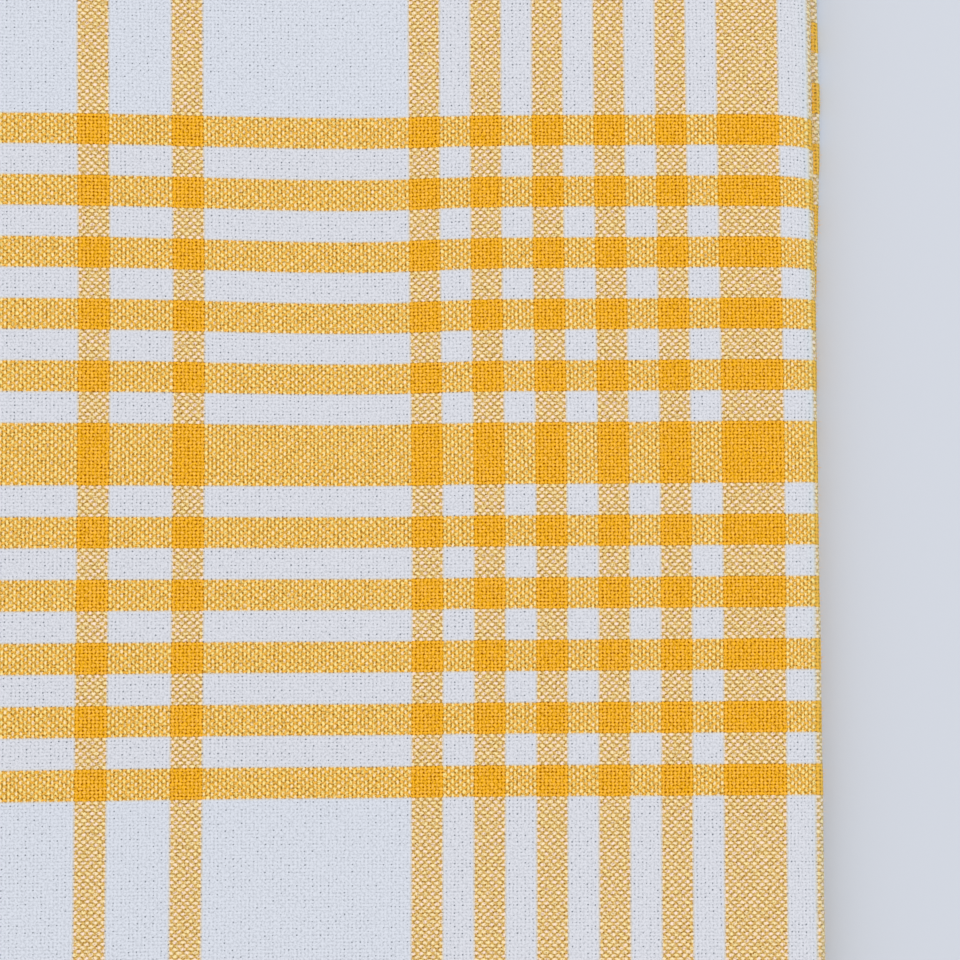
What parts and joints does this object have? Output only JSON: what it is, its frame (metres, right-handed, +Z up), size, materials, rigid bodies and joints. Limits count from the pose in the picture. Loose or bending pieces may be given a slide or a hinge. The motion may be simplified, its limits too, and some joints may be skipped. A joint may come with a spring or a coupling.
{
  "type": "folded tablecloth",
  "caption": "Cotton tablecloth in a yellow and white plain check, hemmed and folded back and forth into a flat pile",
  "frame": {"origin": "the middle of the folded pile's underside, on the surface it lies on", "axes": "+Z up, the folds run along Y, the layers go back and forth along X"},
  "size_m": [0.2468, 0.358, 0.0063],
  "materials": {
    "check_cotton": "plain-weave cotton yarn, dyed warm yellow and bleached white, woven in a check with pressed folds"
  },
  "bodies": {
    "root": {"tablecloth": "check_cotton"}
  },
  "joints": []
}
